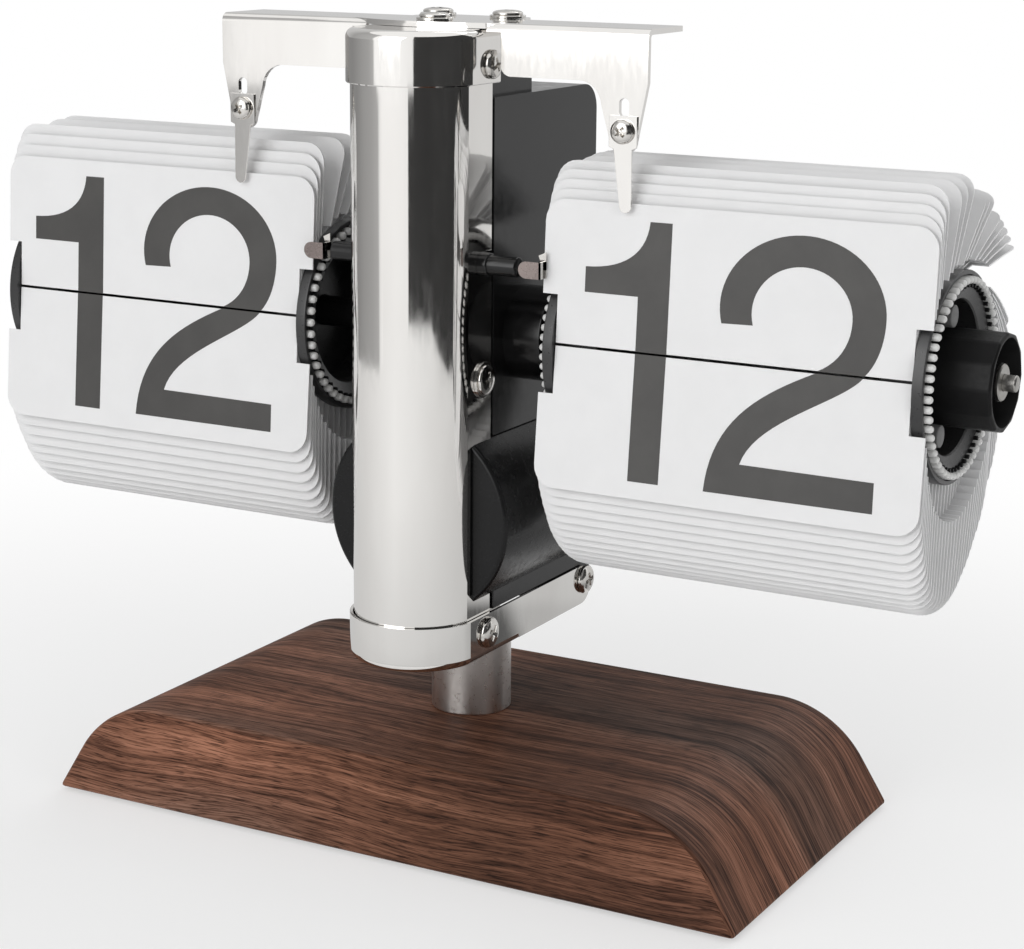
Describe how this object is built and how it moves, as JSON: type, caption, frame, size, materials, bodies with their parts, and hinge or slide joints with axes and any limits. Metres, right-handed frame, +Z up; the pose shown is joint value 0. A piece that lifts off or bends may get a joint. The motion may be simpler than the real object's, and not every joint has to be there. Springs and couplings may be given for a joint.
{
  "type": "flip clock",
  "caption": "Free-standing flip clock: two drums of printed leaves on one shaft, each side of a polished sheet-metal column on a wooden base, driven by a battery movement.",
  "frame": {"origin": "on the table under the middle of the wooden base", "axes": "+X along the drum shaft to the minute knob, +Y to the rear, +Z up"},
  "size_m": [0.2093, 0.0854, 0.1576],
  "materials": {
    "wood": "satin varnish",
    "pad": "felt",
    "steel": "mirror polished",
    "plain_steel": "plain",
    "black_plastic": "gloss",
    "black_drum": "satin",
    "gear_plastic": "satin",
    "leaf_card": "matte",
    "catch_metal": "plain",
    "board": "satin",
    "cell": "plain jacket"
  },
  "bodies": {
    "stand": {"wood_base": "wood", "base_pad": "pad", "post": "plain_steel", "post_bolt": "plain_steel", "post_nut": "plain_steel", "front_shell": "steel", "lower_bracket": "steel", "upper_bracket": "steel", "arm_bracket": "steel", "minute_finger": "steel", "hour_finger": "steel", "battery_housing": "black_plastic", "battery": "cell", "front_contact": "plain_steel", "case_body": "black_plastic", "case_lid": "black_plastic", "idler_pin": "plain_steel", "motor": "plain_steel", "circuit_board": "board", "minute_lower_leaf": "leaf_card", "minute_leaves_upper": "leaf_card", "minute_leaves_lower": "leaf_card", "hour_lower_leaf": "leaf_card", "hour_leaves_upper": "leaf_card", "hour_leaves_lower": "leaf_card", "catch_rod_left": "black_plastic", "catch_rod_right": "black_plastic", "minute_catch": "catch_metal", "hour_catch": "catch_metal", "cap_screw_left": "steel", "cap_screw_right": "steel", "shell_screw_left": "steel", "shell_screw_right": "steel", "foot_screw_front_left": "steel", "foot_screw_front_right": "steel", "foot_screw_rear_left": "steel", "foot_screw_rear_right": "steel", "arm_screw_front": "steel", "arm_screw_left": "steel", "arm_screw_right": "steel", "minute_finger_screw": "steel", "hour_finger_screw": "steel"},
    "minute_drum": {"minute_shaft": "plain_steel", "minute_gear": "gear_plastic", "minute_knob": "black_plastic", "minute_flange_inner": "black_drum", "minute_flange_outer": "black_drum", "shaft_washer": "plain_steel", "shaft_clip": "plain_steel"},
    "hour_drum": {"hour_sleeve": "black_plastic", "hour_gear": "gear_plastic", "hour_flange_inner": "black_drum", "hour_flange_outer": "black_drum"},
    "idler": {"idler_gear": "gear_plastic"},
    "motor_rotor": {"motor_pinion": "gear_plastic"},
    "minute_leaf": {"minute_leaf": "leaf_card"},
    "hour_leaf": {"hour_leaf": "leaf_card"},
    "battery_cover": {"battery_cover": "black_plastic", "rear_contact_spring": "plain_steel"}
  },
  "joints": [
    {"name": "minute_drum_turn", "type": "hinge", "parent": "stand", "child": "minute_drum", "pos_m": [0, -0.00096, 0.09738], "axis": [1, 0, 0], "continuous": true},
    {"name": "hour_drum_turn", "type": "hinge", "parent": "stand", "child": "hour_drum", "pos_m": [0, -0.00096, 0.09738], "axis": [1, 0, 0], "continuous": true},
    {"name": "idler_turn", "type": "hinge", "parent": "stand", "child": "idler", "pos_m": [0, 0.00153, 0.10912], "axis": [1, 0, 0], "continuous": true},
    {"name": "motor_turn", "type": "hinge", "parent": "stand", "child": "motor_rotor", "pos_m": [0, 0.01032, 0.09328], "axis": [1, 0, 0], "continuous": true},
    {"name": "minute_leaf_fall", "type": "hinge", "parent": "stand", "child": "minute_leaf", "pos_m": [0.062, -0.01892, 0.09931], "axis": [1, 0, 0], "range_deg": [0, 176], "deforming": ["minute_finger", "minute_catch"]},
    {"name": "hour_leaf_fall", "type": "hinge", "parent": "stand", "child": "hour_leaf", "pos_m": [-0.062, -0.01892, 0.09931], "axis": [1, 0, 0], "range_deg": [0, 176], "deforming": ["hour_finger", "hour_catch"]},
    {"name": "battery_cover_slide", "type": "slide", "parent": "stand", "child": "battery_cover", "axis": [0, 1, 0], "range_m": [0, 0.012]}
  ],
  "couplings": [
    {"joint": "hour_drum_turn", "follows": "minute_drum_turn", "ratio": 0.041667},
    {"joint": "idler_turn", "follows": "minute_drum_turn", "ratio": -0.25},
    {"joint": "motor_turn", "follows": "minute_drum_turn", "ratio": -4}
  ]
}
